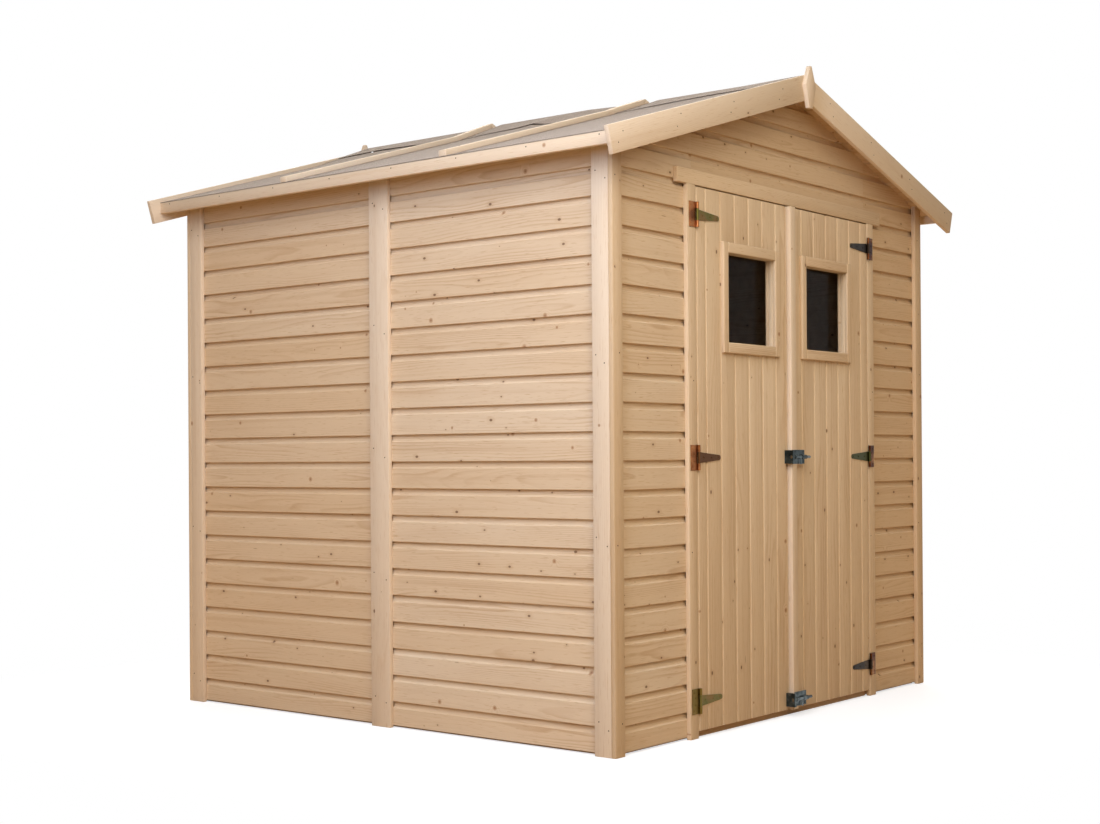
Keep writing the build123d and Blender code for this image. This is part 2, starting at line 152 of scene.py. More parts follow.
# Fastener heads: sides, then shares of the radius and of the rise
DOME_SIDES = 24
DOME_RIM = (1.0, 0.35)
DOME_SHOULDER = (0.82, 0.85)
DOME_FLAT = 0.4
CROSS_ARM = 0.62
CROSS_HALF = 0.16

# Nails: upright steps in the trims, and how far in from each end and edge they go
NAIL_RADIUS = 0.0021
NAIL_RISE = 0.0005
NAIL_SUNK = 0.0006
NAIL_SHAKE = 0.004
NAIL_STEPS = {
    "side_mid_trims": 0.44,
    "side_corner_trims": 0.5,
    "rear_mid_trim": 0.44,
    "front_corner_trims": 0.5,
    "rear_corner_trims": 0.5,
    "door_jambs": 0.55,
}
NAIL_FOOT = 0.09
NAIL_HEAD = 0.12
NAIL_STAGGER = 0.012
NAIL_SIDE_SHARE = 0.58
NAIL_END_SHARE = 0.6
NARROW_TRIM = 0.03
FASCIA_END = 0.05
FASCIA_STEP = 0.29
FASCIA_RISE = 0.006
BARGE_NAILS = (0.16, 1.06, 0.3)
BARGE_DROPS = (0.008, 0.047)
BARGE_STAGGER = 0.02
BATTEN_NAILS = (0.12, 1.0, 0.22)

# Spruce, in metres. Specks are (grid points a metre, share that shows, smallest, largest).
KNOTS = (8.5, 0.2, 0.003, 0.0085)
PINS = (24.0, 0.075, 0.001, 0.0042)
POCKETS = (14.0, 0.07, 0.0006, 0.0012)
RING_PITCH = 0.0046
RING_WANDER = 0.06
RING_SWAY = 0.004
RING_PUSH = 0.008
HEART_RANGES = ((0, 40), (-0.07, 0.07), (0.02, 0.14))

# Timber tones from pale at 0 to warm at 1, and the panels that stand out. The front right panel's extra
# warmth is painted shade, darker and warmer where the light falls off across the front.
TONE_FLOOR = 0.2
TONE_SPREAD = 0.6
PANEL_WARMTH_AND_SHADE = {
    ("left_wall_cladding", 0): 0.4,
    ("left_wall_cladding", 1): 0.0,
    # Painted shade: the front right panel is warmed and darkened where the light falls off.
    ("front_right_cladding", 0): 0.8,
}

# Stage: the floor turns from its shadow to white over the fade, away from the walls
STAGE_HALF = 14.0
FLOOR_DROP = 0.001
FLOOR_FADE = (0.15, 1.1)
FLOOR_LIFT = 0.62
AMBIENT_COLOUR = (1.0, 0.8, 0.56, 1.0)
AMBIENT_STRENGTH = 0.06

WHITE = (1.0, 1.0, 1.0, 1.0)
GREY = (0.5, 0.5, 0.5, 1.0)
DARK_GREY = (0.12, 0.12, 0.12, 1.0)
BLACK = (0.0, 0.0, 0.0, 1.0)


# Node graphs


class Graph:
    """Short-hand for building one material's nodes."""

    def __init__(self, name):
        self.material = bpy.data.materials.new(name)
        self.material.use_nodes = True
        self.tree = self.material.node_tree
        self.tree.nodes.clear()
        self.output = self.node("ShaderNodeOutputMaterial")

    def node(self, kind, inputs=None, **settings):
        made = self.tree.nodes.new(kind)
        for key, value in settings.items():
            setattr(made, key, value)
        for key, value in (inputs or {}).items():
            self.feed(made.inputs[key], value)
        return made

    def feed(self, socket, value):
        if isinstance(value, bpy.types.NodeSocket):
            self.tree.links.new(value, socket)
        else:
            socket.default_value = value

    def math(self, operation, first, second=0.0):
        made = self.node("ShaderNodeMath", operation=operation)
        self.feed(made.inputs[0], first)
        self.feed(made.inputs[1], second)
        return made.outputs[0]

    def stretch(self, vector, scale):
        made = self.node("ShaderNodeVectorMath", operation="MULTIPLY")
        self.feed(made.inputs[0], vector)
        self.feed(made.inputs[1], scale)
        return made.outputs[0]

    def noise(self, vector, scale, detail=2.0, roughness=0.5):
        inputs = {"Vector": vector, "Scale": scale, "Detail": detail, "Roughness": roughness}
        return self.node("ShaderNodeTexNoise", inputs).outputs["Fac"]

    def span(self, value, low, high, to_low=0.0, to_high=1.0):
        inputs = {"Value": value, "From Min": low, "From Max": high, "To Min": to_low, "To Max": to_high}
        return self.node("ShaderNodeMapRange", inputs, interpolation_type="SMOOTHSTEP").outputs["Result"]

    def mix(self, factor, first, second):
        made = self.node("ShaderNodeMix", data_type="RGBA")
        self.feed(made.inputs["Factor"], factor)
        colours = [socket for socket in made.inputs if socket.type == "RGBA"]
        self.feed(colours[0], first)
        self.feed(colours[1], second)
        return next(socket for socket in made.outputs if socket.type == "RGBA")

    def ramp(self, factor, stops):
        made = self.node("ShaderNodeValToRGB", {"Fac": factor})
        points = made.color_ramp.elements
        points[0].position, points[0].color = stops[0]
        points[1].position, points[1].color = stops[-1]
        for place, colour in stops[1:-1]:
            points.new(place).color = colour
        return made.outputs["Color"]

    def specks(self, flat, scale, chance, small, large):
        """Distance to the nearest of a loose grid of points, 1 at its speck's edge, and whether it shows."""
        cells = self.node("ShaderNodeTexVoronoi", {"Vector": flat, "Scale": scale}, voronoi_dimensions="2D")
        draw = self.node("ShaderNodeSeparateColor", {0: cells.outputs["Color"]})
        chosen = self.math("LESS_THAN", draw.outputs[0], chance)
        reach = self.math("DIVIDE", cells.outputs["Distance"], scale)
        away = self.math("DIVIDE", reach, self.span(draw.outputs[1], 0.0, 1.0, small, large))
        return away, chosen

    def surface(self, colour, roughness, height=None, bump=0.0, depth=0.001, **inputs):
        shader = self.node("ShaderNodeBsdfPrincipled", {"Base Color": colour, "Roughness": roughness})
        for key, value in inputs.items():
            self.feed(shader.inputs[key.replace("_", " ")], value)
        if height is not None:
            made = self.node("ShaderNodeBump", {"Strength": bump, "Distance": depth, "Height": height})
            self.feed(shader.inputs["Normal"], made.outputs["Normal"])
        self.tree.links.new(shader.outputs[0], self.output.inputs["Surface"])
        return self.material


def tint(red, green, blue):
    """A colour written in screen values from 0 to 255, as the linear colour that nodes take."""
    return tuple((v / 255) ** 2.2 for v in (red, green, blue)) + (1.0,)


def spruce(name, pale, warm, late, knots=1.0, contrast=0.4):
    """Planed spruce. Each timber carries its grain: along, across and into the board, in metres."""
    g = Graph(name)
    grain = g.node("ShaderNodeAttribute", attribute_name="grain").outputs["Vector"]
    tone = g.node("ShaderNodeAttribute", attribute_name="tone").outputs["Fac"]
    parts = g.node("ShaderNodeSeparateXYZ", {0: grain})
    flat = g.node("ShaderNodeCombineXYZ", {0: parts.outputs[0], 1: parts.outputs[1]}).outputs[0]

    def scatter(specks, squeeze):
        """Specks of one kind, drawn out along the grain by a squeeze under 1."""
        scale, chance, small, large = specks
        place = g.stretch(flat, (squeeze, 1.0, 1.0)) if squeeze < 1 else flat
        return g.specks(place, scale, chance * knots, small, large)

    def spot(specks, edge, middle):
        """How strongly specks show: not at all at the edge, fully at the middle."""
        return g.math("MULTIPLY", g.span(specks[0], edge, middle), specks[1])

    # Knots push the rings aside, pin knots are small and dark, and resin pockets lie along the grain
    knot_specks = scatter(KNOTS, 1.0)
    pin_specks = scatter(PINS, 0.65)
    pocket_specks = scatter(POCKETS, 0.09)
    push = spot(knot_specks, 3.4, 0.4)
    core = spot(knot_specks, 1.25, 0.6)
    heart_dark = spot(knot_specks, 0.55, 0.2)
    pin = spot(pin_specks, 1.2, 0.7)
    halo = spot(pin_specks, 4.0, 1.0)
    pocket = spot(pocket_specks, 1.3, 0.6)

    # Rings about a heart that lies off the board, wandering slowly along it
    wander = g.noise(g.stretch(grain, (0.8, 6.0, 6.0)), 1.0, 2.0)
    sway = g.noise(g.stretch(grain, (5.0, 24.0, 24.0)), 1.0, 2.0)
    squares = [g.math("POWER", parts.outputs[k], 2.0) for k in (1, 2)]
    radius = g.math("SQRT", g.math("ADD", squares[0], squares[1]))
    radius = g.math("ADD", radius, g.math("MULTIPLY", wander, RING_WANDER))
    radius = g.math("ADD", radius, g.math("MULTIPLY", sway, RING_SWAY))
    radius = g.math("ADD", radius, g.math("MULTIPLY", push, RING_PUSH))
    phase = g.math("FRACT", g.math("DIVIDE", radius, RING_PITCH))
    band = g.ramp(phase, [(0.0, BLACK), (0.5, DARK_GREY), (0.88, WHITE), (1.0, BLACK)])
    patch = g.noise(g.stretch(grain, (2.2, 16.0, 16.0)), 1.0, 2.0)
    rings = g.math("MULTIPLY", band, g.span(patch, 0.42, 0.66, 0.15 * contrast, contrast))

    fibre = g.noise(g.stretch(grain, (14.0, 800.0, 800.0)), 1.0, 3.0, 0.6)
    streak = g.noise(g.stretch(grain, (1.0, 45.0, 45.0)), 1.0, 2.0)
    dash = g.noise(g.stretch(grain, (22.0, 380.0, 380.0)), 1.0, 1.0)
    cloud = g.noise(g.stretch(grain, (1.4, 5.0, 5.0)), 1.0, 2.0)

    colour = g.mix(tone, pale, warm)
    colour = g.mix(g.span(cloud, 0.35, 0.75, 0.0, 0.5), colour, warm)
    colour = g.mix(rings, colour, late)
    colour = g.mix(g.span(streak, 0.52, 0.78, 0.0, 0.28), colour, late)
    colour = g.mix(g.span(dash, 0.62, 0.74, 0.0, 0.5), colour, late)
    colour = g.mix(g.span(fibre, 0.3, 0.8, 0.0, 0.1), colour, late)
    colour = g.mix(g.math("MULTIPLY", halo, 0.25), colour, late)
    colour = g.mix(g.math("MULTIPLY", core, 0.62), colour, tint(160, 112, 72))
    colour = g.mix(g.math("MULTIPLY", heart_dark, 0.5), colour, tint(110, 72, 46))
    colour = g.mix(g.math("MULTIPLY", pin, 0.8), colour, tint(96, 64, 42))
    colour = g.mix(g.math("MULTIPLY", pocket, 0.7), colour, tint(118, 80, 50))

    height = g.math("ADD", g.math("MULTIPLY", rings, -0.6), fibre)
    roughness = g.span(fibre, 0.2, 0.8, 0.58, 0.74)
    return g.surface(colour, roughness, height, 0.18, 0.0005, Specular_IOR_Level=0.25)


def roofing_felt(name):
    """Bitumen felt faced with warm grey mineral granules."""
    g = Graph(name)
    place = g.node("ShaderNodeTexCoord").outputs["Object"]
    granule = g.noise(place, 900.0, 2.0, 0.7)
    patch = g.noise(place, 6.0, 4.0, 0.6)
    stain = g.noise(g.stretch(place, (2.0, 11.0, 2.0)), 1.0, 3.0)
    shades = [(0.3, tint(88, 79, 70)), (0.52, tint(147, 132, 119)), (0.72, tint(179, 163, 147))]
    colour = g.ramp(granule, shades)
    colour = g.mix(g.span(patch, 0.4, 0.7, 0.0, 0.3), colour, tint(141, 126, 113))
    colour = g.mix(g.span(stain, 0.55, 0.8, 0.0, 0.25), colour, tint(113, 99, 87))
    roughness = g.span(granule, 0.2, 0.8, 0.8, 0.95)
    return g.surface(colour, roughness, granule, 0.5, 0.001, Specular_IOR_Level=0.2)


def plated_steel(name, low, middle, high, rough_low, rough_high, odd=None, level=1.0):
    """Plated steel with a passivated film that shifts in colour, and turns to odd about one level."""
    g = Graph(name)
    place = g.node("ShaderNodeTexCoord").outputs["Object"]
    film = g.noise(place, 26.0, 3.0, 0.55)
    fine = g.noise(place, 420.0, 3.0, 0.6)
    colour = g.ramp(film, [(0.34, low), (0.5, middle), (0.66, high)])
    if odd:
        height = g.node("ShaderNodeSeparateXYZ", {0: place}).outputs[2]
        away = g.math("ABSOLUTE", g.math("SUBTRACT", height, level))
        colour = g.mix(g.span(away, ODD_FILM, 0.5 * ODD_FILM, 0.0, 0.85), colour, odd)
    colour = g.mix(g.span(fine, 0.5, 0.8, 0.0, 0.35), colour, low)
    roughness = g.span(fine, 0.25, 0.75, rough_low, rough_high)
    return g.surface(colour, roughness, fine, 0.12, 0.0003, Metallic=1.0)


def pane_glass(name, clear, dusty):
    """Pane with a brown cast and a little dust."""
    g = Graph(name)
    place = g.node("ShaderNodeTexCoord").outputs["Object"]
    dust = g.noise(place, 26.0, 4.0, 0.65)
    colour = g.ramp(dust, [(0.35, clear), (0.75, dusty)])
    return g.surface(colour, g.span(dust, 0.4, 0.8, 0.02, 0.1), Transmission_Weight=1.0, IOR=1.08)


def studio_floor(name, half_wide, half_deep, fade_start, fade_end):
    """Floor that keeps a faint shadow by the object and fades to the white of the background."""
    g = Graph(name)
    place = g.node("ShaderNodeTexCoord").outputs["Object"]
    parts = g.node("ShaderNodeSeparateXYZ", {0: place})
    beyond = []
    for output, half in ((0, half_wide), (1, half_deep)):
        away = g.math("SUBTRACT", g.math("ABSOLUTE", parts.outputs[output]), half)
        beyond.append(g.math("POWER", g.math("MAXIMUM", away, 0.0), 2.0))
    far = g.span(g.math("SQRT", g.math("ADD", beyond[0], beyond[1])), fade_start, fade_end)
    path = g.node("ShaderNodeLightPath")
    seen = path.outputs["Is Camera Ray"]
    for ray in ("Is Glossy Ray", "Is Transmission Ray"):
        seen = g.math("MAXIMUM", seen, path.outputs[ray])
    bounce = g.node("ShaderNodeBsdfDiffuse", {"Color": tint(196, 164, 124)})
    shadow = g.node("ShaderNodeBsdfDiffuse", {"Color": GREY})
    lift = g.node("ShaderNodeEmission", {"Color": WHITE, "Strength": FLOOR_LIFT})
    glow = g.node("ShaderNodeEmission", {"Color": WHITE, "Strength": 1.0})
    near = g.node("ShaderNodeAddShader", {0: shadow.outputs[0], 1: lift.outputs[0]})
    shown = g.node("ShaderNodeMixShader", {0: far, 1: near.outputs[0], 2: glow.outputs[0]})
    whole = g.node("ShaderNodeMixShader", {0: seen, 1: bounce.outputs[0], 2: shown.outputs[0]})
    g.tree.links.new(whole.outputs[0], g.output.inputs["Surface"])
    return g.material


LATE = tint(176, 138, 100)
CLADDING = spruce("cladding_spruce", tint(217, 195, 166), tint(207, 178, 142), LATE, 1.0, 0.52)
TRIM = spruce("trim_spruce", tint(222, 203, 179), tint(214, 191, 162), tint(192, 158, 122), 0.5, 0.25)
DOOR = spruce("door_spruce", tint(218, 195, 163), tint(210, 183, 149), LATE, 0.8, 0.48)
# Front corner trims: a darker copy of the trim spruce, painted shade for their front faces.
SHADED_CORNER = spruce("shaded_corner_spruce", tint(207, 180, 146), tint(198, 169, 132), LATE, 0.8, 0.48)
FRAMING = spruce("framing_spruce", tint(204, 174, 136), tint(192, 156, 114), tint(156, 114, 74), 1.2, 0.4)
FELT = roofing_felt("mineral_felt")
HINGES = {
    "left_plate": plated_steel(
        "plate_steel", tint(100, 60, 34), tint(134, 82, 48), tint(164, 108, 66), 0.3, 0.45,
        tint(104, 88, 40), LOWER_HINGE,
    ),
    "left_strap": plated_steel(
        "strap_steel", tint(80, 74, 36), tint(100, 90, 46), tint(116, 88, 50), 0.35, 0.5,
        tint(88, 52, 34), MIDDLE_HINGE,
    ),
    "right_plate": plated_steel(
        "dark_plate_steel", tint(54, 28, 16), tint(86, 48, 27), tint(140, 96, 56), 0.3, 0.45,
    ),
    "right_strap": plated_steel(
        "dark_strap_steel", tint(40, 32, 26), tint(52, 42, 33), tint(72, 58, 44), 0.35, 0.5,
        tint(66, 66, 34), MIDDLE_HINGE,
    ),
}
BOLT = plated_steel("zinc_steel", tint(44, 50, 51), tint(66, 75, 76), tint(112, 120, 122), 0.28, 0.45)
NAIL = plated_steel("nail_steel", tint(48, 38, 30), tint(66, 52, 42), tint(92, 76, 62), 0.4, 0.6)
GLASS = pane_glass("window_glass", tint(216, 200, 186), tint(196, 176, 160))


# Timber meshes


class Pile:
    """Timbers gathered into one mesh. Each keeps its own grain and tone."""

    def __init__(self):
        self.verts = []
        self.faces = []
        self.grain = []
        self.tone = []

    def add(self, timber, grain_frame, seed, warmth=TONE_FLOOR):
        """Take a bmesh in the row frame. grain_frame maps (along, across, depth) to the row frame."""
        rng = random.Random(seed)
        heart = Vector([rng.uniform(low, high) for low, high in HEART_RANGES])
        tone = warmth + TONE_SPREAD * rng.random()
        to_grain = grain_frame.inverted()
        first = len(self.verts)
        timber.verts.index_update()
        for vert in timber.verts:
            self.verts.append(vert.co.copy())
            self.grain.append(to_grain @ vert.co + heart)
            self.tone.append(tone)
        for face in timber.faces:
            self.faces.append([first + vert.index for vert in face.verts])
        timber.free()

    def piece(self, name, body, slot, material, *nodes):
        """Make the object, let it ride on a body and stand for the given nodes."""
        mesh = bpy.data.meshes.new(name)
        mesh.from_pydata(self.verts, [], self.faces)
        grain = mesh.attributes.new("grain", "FLOAT_VECTOR", "POINT")
        grain.data.foreach_set("vector", np.array(self.grain, np.float32).ravel())
        tone = mesh.attributes.new("tone", "FLOAT", "POINT")
        tone.data.foreach_set("value", np.array(self.tone, np.float32))
        return place_piece(name, mesh, body, slot, material, *nodes)


def place_piece(name, mesh, body, slot, material, *nodes):
    """Link a finished mesh, shade it, let it ride on a body and hide the nodes it stands for."""
    mesh.polygons.foreach_set("use_smooth", [True] * len(mesh.polygons))
    mesh.set_sharp_from_angle(angle=SHARP_ANGLE)
    mesh.materials.append(material)
    piece = bpy.data.objects.new(name, mesh)
    bpy.context.scene.collection.objects.link(piece)
    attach(piece, body)
    if nodes:
        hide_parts(*nodes)
    return piece


def frame_of(along, across, depth, origin=(0, 0, 0)):
    """A matrix from (along, across, depth) to the row frame."""
    matrix = Matrix((along, across, depth)).transposed().to_4x4()
    matrix.translation = Vector(origin)
    return matrix


def prism(outline, length, matrix):
    """A timber with an (across, depth) outline and a length along, set in place by a matrix."""
    timber = bmesh.new()
    ends = []
    for along in (0.0, length):
        ends.append([timber.verts.new(matrix @ Vector((along, across, depth))) for across, depth in outline])
    count = len(outline)
    for k in range(count):
        n = (k + 1) % count
        timber.faces.new((ends[0][k], ends[0][n], ends[1][n], ends[1][k]))
    timber.faces.new(ends[0])
    timber.faces.new(list(reversed(ends[1])))
    bmesh.ops.recalc_face_normals(timber, faces=timber.faces[:])
    return timber


def trim_by(timber, point, normal):
    """Cut away what lies on the normal's side of a plane and close the cut."""
    everything = timber.verts[:] + timber.edges[:] + timber.faces[:]
    bmesh.ops.bisect_plane(
        timber, geom=everything, plane_co=Vector(point), plane_no=Vector(normal), dist=1e-6, clear_outer=True
    )
    open_edges = [edge for edge in timber.edges if edge.is_boundary]
    if open_edges:
        bmesh.ops.holes_fill(timber, edges=open_edges)
    return len(timber.faces) > 0


def islands(mesh):
    """Split a node's mesh into one bmesh for each solid."""
    whole = bmesh.new()
    whole.from_mesh(mesh)
    bmesh.ops.remove_doubles(whole, verts=whole.verts[:], dist=WELD)
    whole.verts.index_update()
    left = set(range(len(whole.verts)))
    whole.verts.ensure_lookup_table()
    found = []
    while left:
        start = min(left)
        group = {start}
        edge = [start]
        while edge:
            for link in whole.verts[edge.pop()].link_edges:
                for vert in link.verts:
                    if vert.index not in group:
                        group.add(vert.index)
                        edge.append(vert.index)
        left -= group
        single = whole.copy()
        single.verts.ensure_lookup_table()
        others = [vert for vert in single.verts if vert.index not in group]
        bmesh.ops.delete(single, geom=others, context="VERTS")
        bmesh.ops.dissolve_limit(single, angle_limit=FLAT_ANGLE, verts=single.verts[:], edges=single.edges[:])
        found.append(single)
    whole.free()
    return found


def round_over(timber, width, steps=2):
    """Take the sharpness off every edge."""
    sharp = [edge for edge in timber.edges if edge.calc_face_angle(0.0) > BEVEL_ANGLE]
    bmesh.ops.bevel(
        timber, geom=sharp, offset=width, offset_type="OFFSET", segments=steps, profile=0.5, affect="EDGES",
        clamp_overlap=True,
    )


def grain_of(timber):
    """Grain frame, middle and long way of a solid: the longest way is along, the shortest is depth."""
    points = np.array([vert.co for vert in timber.verts])
    middle = points.mean(0)
    ways = np.linalg.eigh(np.cov((points - middle).T))[1]
    along, across, depth = (Vector(ways[:, k]) for k in (2, 1, 0))
    along = along if along[int(np.argmax(np.abs(along)))] > 0 else -along
    across = across if across[int(np.argmax(np.abs(across)))] > 0 else -across
    return frame_of(along, across, along.cross(across)), middle, along


def dressed(node, body, slot, material, width=TIMBER_ARRIS):
    """Stand-in for a node of plain timbers: rounded edges, and grain along each timber."""
    pile = Pile()
    for timber in islands(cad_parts[node].data):
        grain_frame, middle, along = grain_of(timber)
        level = Vector(middle) - along * along.dot(Vector(middle))
        round_over(timber, width)
        pile.add(timber, grain_frame, f"{node} {level.x:.2f} {level.y:.2f} {level.z:.2f}")
    return pile.piece(f"{node}_timber", body, slot, material, node)


# Walls


def shiplap_outline(low, high, thick):
    """Outline of one board in (height, depth): hollow cove along the top, lap over the board below."""
    points = [(low, ARRIS), (low + ARRIS, 0.0), (high - LIP_TALL, 0.0)]
    tall = LIP_TALL - LIP_EASE
    deep = LIP_DEEP - LIP_EASE
    for k in range(COVE_STEPS + 1):
        turn = math.radians(90) * k / COVE_STEPS
        height = high - tall * math.cos(turn) ** COVE_ROUND
        depth = LIP_EASE + deep * math.sin(turn) ** COVE_ROUND
        points.append((height, depth))
    tongue = high + LAP_TALL - LAP_CLEAR
    points += [(tongue, LIP_DEEP), (tongue, thick), (low + LAP_TALL, thick)]
    points += [(low + LAP_TALL, LIP_DEEP - LAP_CLEAR), (low, LIP_DEEP - LAP_CLEAR)]
    return points


roof_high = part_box("left_roof_boards")[1]
RIDGE_UNDER = roof_high.z - DECK_THICK / math.cos(ROOF_PITCH)
ROOF_CUTS = [
    ((0, 0, RIDGE_UNDER), (-math.sin(ROOF_PITCH), 0, math.cos(ROOF_PITCH))),
    ((0, 0, RIDGE_UNDER), (math.sin(ROOF_PITCH), 0, math.cos(ROOF_PITCH))),
]
side_low, side_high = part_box("left_wall_cladding")
CLAD_X = -side_low.x
CLAD_THICK = side_high.x - side_low.x
WALL_TOP = RIDGE_UNDER - CLAD_X * math.tan(ROOF_PITCH)
CLAD_LOW = side_low.z


def clad(name, node, along, inward, face_point, panels, low, high):
    """Boards of one wall, in panels given as (start, end) along it, cut to the roof."""
    pile = Pile()
    matrix = frame_of(Vector(along), Vector((0, 0, 1)), Vector(inward), face_point)
    first = math.floor((low - WALL_TOP) / BOARD_COVER)
    last = math.ceil((high - WALL_TOP) / BOARD_COVER)
    for number, (start, end) in enumerate(panels):
        for course in range(first, last):
            bottom = WALL_TOP + course * BOARD_COVER
            outline = shiplap_outline(bottom, bottom + BOARD_COVER, CLAD_THICK)
            timber = prism(outline, end - start, matrix @ Matrix.Translation((start, 0, 0)))
            cuts = ROOF_CUTS + [((0, 0, low), (0, 0, -1))]
            if all(trim_by(timber, point, normal) for point, normal in cuts):
                middle = Matrix.Translation((0, bottom + BOARD_COVER / 2, 0))
                # Panel warmth; on the front right panel it is painted shade.
                warmth = PANEL_WARMTH_AND_SHADE.get((node, number), TONE_FLOOR)
                pile.add(timber, matrix @ middle, f"{node} {number} {course}", warmth)
    return pile.piece(name, "shed", "cladding_wood", CLADDING, node)


def clad_walls():
    """All six stretches of cladding. The side panels meet behind the mid trims."""
    depth = side_high.y
    trim_low, trim_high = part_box("side_mid_trims")
    meet = (trim_low.y + trim_high.y) / 2
    left_meet = depth - meet
    right_meet = depth + meet
    clad("left_wall_boards", "left_wall_cladding", (0, -1, 0), (1, 0, 0), (-CLAD_X, depth, 0),
         [(0, left_meet - PANEL_JOINT), (left_meet + PANEL_JOINT, 2 * depth)], CLAD_LOW, WALL_TOP)
    clad("right_wall_boards", "right_wall_cladding", (0, 1, 0), (-1, 0, 0), (CLAD_X, -depth, 0),
         [(0, right_meet - PANEL_JOINT), (right_meet + PANEL_JOINT, 2 * depth)], CLAD_LOW, WALL_TOP)
    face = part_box("rear_wall_cladding")[1].y
    clad("rear_wall_boards", "rear_wall_cladding", (-1, 0, 0), (0, -1, 0), (CLAD_X, face, 0),
         [(0, CLAD_X - PANEL_JOINT), (CLAD_X + PANEL_JOINT, 2 * CLAD_X)], CLAD_LOW, RIDGE_UNDER)
    for node in ("front_left_cladding", "front_right_cladding", "front_gable_cladding"):
        box_low, box_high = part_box(node)
        clad(node.replace("cladding", "boards"), node, (1, 0, 0), (0, 1, 0), (0, -face, 0),
             [(box_low.x, box_high.x)], box_low.z, box_high.z)


# Roof


def slope_frame(side, start, top):
    """Frame of one roof slope from the ridge: along the ridge, down the slope, into the roof."""
    down = Vector((side * math.cos(ROOF_PITCH), 0, -math.sin(ROOF_PITCH)))
    along = Vector((0, side, 0))
    return frame_of(along, down, along.cross(down), (0, side * start, top))


def planks(matrix, reach, cover, thick, length, seed):
    """Boards side by side, with grain frames and seeds. Their beaded face is at the far end of the depth."""
    bead = thick - PLANK_BEAD
    for k in range(math.ceil(reach / cover - SLIVER_SHARE)):
        near = k * cover
        far = min(near + cover, reach) - PLANK_GAP
        outline = [(near, 0), (far, 0), (far, bead)]
        outline += [(far - PLANK_BEAD, thick), (near + PLANK_BEAD, thick), (near, bead)]
        timber = prism(outline, length, matrix)
        middle = Matrix.Translation((0, (near + far) / 2, 0))
        yield timber, matrix @ middle, f"{seed} {k}"


def roof_boards(side, node):
    """Boards of one slope, beaded on the side that shows inside the shed."""
    low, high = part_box(node)
    reach = (high.x - low.x) / math.cos(ROOF_PITCH)
    matrix = slope_frame(side, low.y, high.z)
    pile = Pile()
    for timber, grain_frame, seed in planks(matrix, reach, ROOF_BOARD, DECK_THICK, high.y - low.y, node):
        trim_by(timber, (0, 0, 0), (-side, 0, 0))
        pile.add(timber, grain_frame, seed)
    return pile.piece(node.replace("roof_boards", "roof_planks"), "shed", "framing_wood", FRAMING, node)


def floor_planks(node):
    """Floor boards from front to back over the bearers."""
    low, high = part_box(node)
    matrix = frame_of(Vector((0, 1, 0)), Vector((-1, 0, 0)), Vector((0, 0, 1)), (high.x, low.y, low.z))
    wide = high.x - low.x
    cover = wide / round(wide / FLOOR_BOARD)
    pile = Pile()
    for timber, grain_frame, seed in planks(matrix, wide, cover, high.z - low.z, high.y - low.y, node):
        pile.add(timber, grain_frame, seed)
    return pile.piece(node.replace("boards", "planks"), "shed", "framing_wood", FRAMING, node)


def shell(rows, thick_of):
    """A closed sheet over a grid of points. thick_of gives the underside's point for each."""
    verts = [point for row in rows for point in row]
    count = len(verts)
    verts += [thick_of(point) for point in verts]
    wide = len(rows[0])
    tall = len(rows)
    faces = []
    for r in range(tall - 1):
        for c in range(wide - 1):
            a = r * wide + c
            quad = (a, a + 1, a + wide + 1, a + wide)
            faces.append(quad)
            faces.append(tuple(count + k for k in reversed(quad)))
    rim = list(range(wide))
    rim += [r * wide + wide - 1 for r in range(1, tall)]
    rim += [(tall - 1) * wide + c for c in range(wide - 2, -1, -1)]
    rim += [r * wide for r in range(tall - 2, 0, -1)]
    for k, a in enumerate(rim):
        b = rim[(k + 1) % len(rim)]
        faces.append((b, a, count + a, count + b))
    mesh = bmesh.new()
    made = [mesh.verts.new(point) for point in verts]
    for face in faces:
        mesh.faces.new([made[k] for k in face])
    bmesh.ops.recalc_face_normals(mesh, faces=mesh.faces[:])
    return mesh


def ripple(along, across, seed):
    """Slow waves from -1 to 1 over a sheet."""
    rng = random.Random(seed)
    total = 0.0
    for k in range(RIPPLES):
        pace = (2.2 + 2.1 * k) * rng.uniform(0.8, 1.2)
        start = rng.uniform(0, 6.28)
        drift = rng.uniform(2, 7)
        total += math.sin(pace * along * math.pi + start + across * drift) / (1 + k)
    return total / RIPPLE_PEAK


def table(pairs, place):
    """Value at a place, straight between the given pairs of place and value."""
    places, values = zip(*pairs)
    return float(np.interp(place, places, values))


def swell(side, y, down):
    """How far the loose felt stands off the boards near the ridge."""
    edge = table(EDGE_LIFTS, -side * y)
    share = down / STRIP_REACH
    if share > 1:
        return edge * math.exp(-(((down - STRIP_REACH) / SWELL_FADE) ** 2))
    ridge = table(RIDGE_LIFTS, y)
    return ridge + (edge - ridge) * share


def sheet_piece(name, rows, into, *nodes):
    """A sheet of felt over rows of points."""
    mesh = shell(rows, lambda point: point + into * (FELT_THICK - FELT_UNDER))
    data = bpy.data.meshes.new(name)
    mesh.to_mesh(data)
    mesh.free()
    return place_piece(name, data, "shed", "roof_felt", FELT, *nodes)


def felt_sheet(side, node):
    """The main sheet of one slope, lying a little unevenly on the boards and up to the ridge strip."""
    low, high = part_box(node)
    reach = (high.x - low.x) / math.cos(ROOF_PITCH)
    matrix = slope_frame(side, low.y, roof_high.z)
    rows = []
    for i in range(ALONG_STEPS + 1):
        along = (high.y - low.y) * i / ALONG_STEPS
        y = side * (low.y + along)
        row = []
        for j in range(DOWN_STEPS + 1):
            down = reach * j / DOWN_STEPS
            hidden = min(1.0, down / STRIP_REACH)
            lift = swell(side, y, down) * (1 - STRIP_GAP) * hidden ** 3
            wave = FELT_WAVE * ripple(along, down, node)
            row.append(matrix @ Vector((along, down, wave - FELT_THICK - lift)))
        rows.append(row)
    return sheet_piece(f"{node}_sheet", rows, matrix.to_3x3() @ Vector((0, 0, 1)), node)


